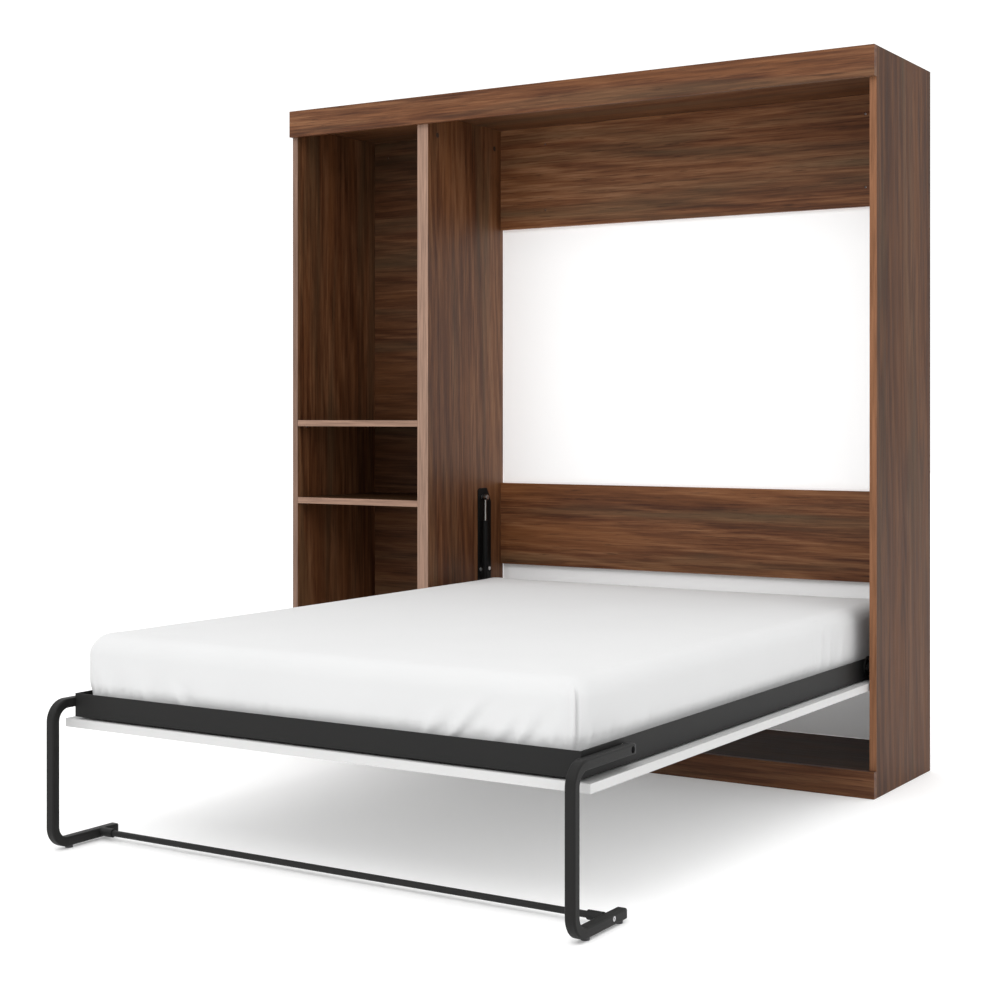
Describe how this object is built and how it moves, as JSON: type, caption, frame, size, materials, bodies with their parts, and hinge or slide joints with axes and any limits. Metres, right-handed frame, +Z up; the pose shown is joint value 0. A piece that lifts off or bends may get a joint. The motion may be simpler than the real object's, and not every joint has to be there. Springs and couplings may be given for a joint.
{
  "type": "murphy wall bed",
  "caption": "Vertical wall bed that folds up into a walnut cabinet, with an open shelf tower on its left, a steel frame, a folding C-shaped foot leg and gas struts.",
  "frame": {"origin": "floor level, at the centre of the footprint with the bed open", "axes": "+Z up, +Y towards the wall behind the cabinet, -Y towards the foot of the open bed, +X to the right seen from the foot"},
  "size_m": [2.22, 2.266, 2.25],
  "materials": {
    "walnut": "satin walnut melamine, dark brown with reddish streaks",
    "white_melamine": "satin white melamine",
    "black_steel": "fine-textured charcoal powder coat",
    "zinc_steel": "zinc-plated",
    "chrome_rod": "polished",
    "black_plastic": "moulded",
    "nylon": "natural nylon",
    "beech": "bare beech plywood",
    "white_fabric": "white cotton fitted sheet"
  },
  "bodies": {
    "cabinet": {"bed_side_left": "walnut", "bed_side_right": "walnut", "bed_top_board": "walnut", "bed_header": "walnut", "upper_back_rail": "walnut", "lower_back_rail": "walnut", "base_deck": "walnut", "base_front_board": "walnut", "base_back_rail": "walnut", "tower_side_left": "walnut", "tower_side_right": "walnut", "tower_top_board": "walnut", "tower_header": "walnut", "tower_back_panel": "walnut", "tower_bottom_board": "walnut", "tower_base_front": "walnut", "tower_shelf_lower": "walnut", "tower_shelf_upper": "walnut", "shelf_pins": "zinc_steel", "cam_locks": "zinc_steel", "cam_bolts": "zinc_steel", "front_dowels": "beech", "joining_bolts": "zinc_steel", "lift_plates": "black_steel", "lift_plate_bolts": "zinc_steel", "pivot_flanges": "black_steel", "pivot_flange_screws": "zinc_steel", "strut_pins": "zinc_steel"},
    "bed": {"side_rail_left": "black_steel", "side_rail_right": "black_steel", "foot_rail": "black_steel", "head_rail": "black_steel", "centre_beam": "black_steel", "corner_gussets": "black_steel", "mattress_slats": "beech", "slat_holders": "black_plastic", "face_panel": "white_melamine", "panel_spacers": "black_plastic", "panel_screws": "zinc_steel", "mattress": "white_fabric", "bearing_housings": "black_steel", "pivot_bushes": "nylon", "housing_bolts": "zinc_steel", "nylon_washers": "nylon", "strut_lugs": "black_steel", "leg_pivot_bolts": "zinc_steel", "leg_backing_plates": "black_steel"},
    "leg_frame": {"leg_left": "black_steel", "leg_right": "black_steel", "cross_rod": "black_steel", "rod_sleeves": "black_steel", "leg_screws": "zinc_steel", "leg_glides": "black_plastic", "tube_end_caps": "black_plastic"},
    "strut_rod_left": {"gas_rod_left": "chrome_rod"},
    "strut_rod_right": {"gas_rod_right": "chrome_rod"},
    "strut_cylinder_left": {"gas_cylinder_left": "black_steel"},
    "strut_cylinder_right": {"gas_cylinder_right": "black_steel"}
  },
  "joints": [
    {"name": "bed_fold", "type": "hinge", "parent": "cabinet", "child": "bed", "pos_m": [0.2875, 0.707, 0.38], "axis": [-1, 0, 0], "range_deg": [0, 90]},
    {"name": "leg_fold", "type": "hinge", "parent": "bed", "child": "leg_frame", "pos_m": [0.2875, -0.865, 0.384], "axis": [-1, 0, 0], "range_deg": [0, 180]},
    {"name": "strut_swing_left", "type": "hinge", "parent": "cabinet", "child": "strut_rod_left", "pos_m": [-0.496, 0.985, 0.848], "axis": [-1, 0, 0], "range_deg": [0, 20.2]},
    {"name": "strut_slide_left", "type": "slide", "parent": "strut_rod_left", "child": "strut_cylinder_left", "axis": [0, 0, -1], "range_m": [0, 0.331]},
    {"name": "strut_swing_right", "type": "hinge", "parent": "cabinet", "child": "strut_rod_right", "pos_m": [1.071, 0.985, 0.848], "axis": [-1, 0, 0], "range_deg": [0, 20.2]},
    {"name": "strut_slide_right", "type": "slide", "parent": "strut_rod_right", "child": "strut_cylinder_right", "axis": [0, 0, -1], "range_m": [0, 0.331]}
  ],
  "couplings": [
    {"joint": "leg_fold", "follows": "bed_fold", "ratio": 2},
    {"joint": "strut_swing_left", "follows": "bed_fold", "ratio": 0.22409},
    {"joint": "strut_slide_left", "follows": "bed_fold", "m_per_rad": 0.21055},
    {"joint": "strut_swing_right", "follows": "bed_fold", "ratio": 0.22409},
    {"joint": "strut_slide_right", "follows": "bed_fold", "m_per_rad": 0.21055}
  ]
}
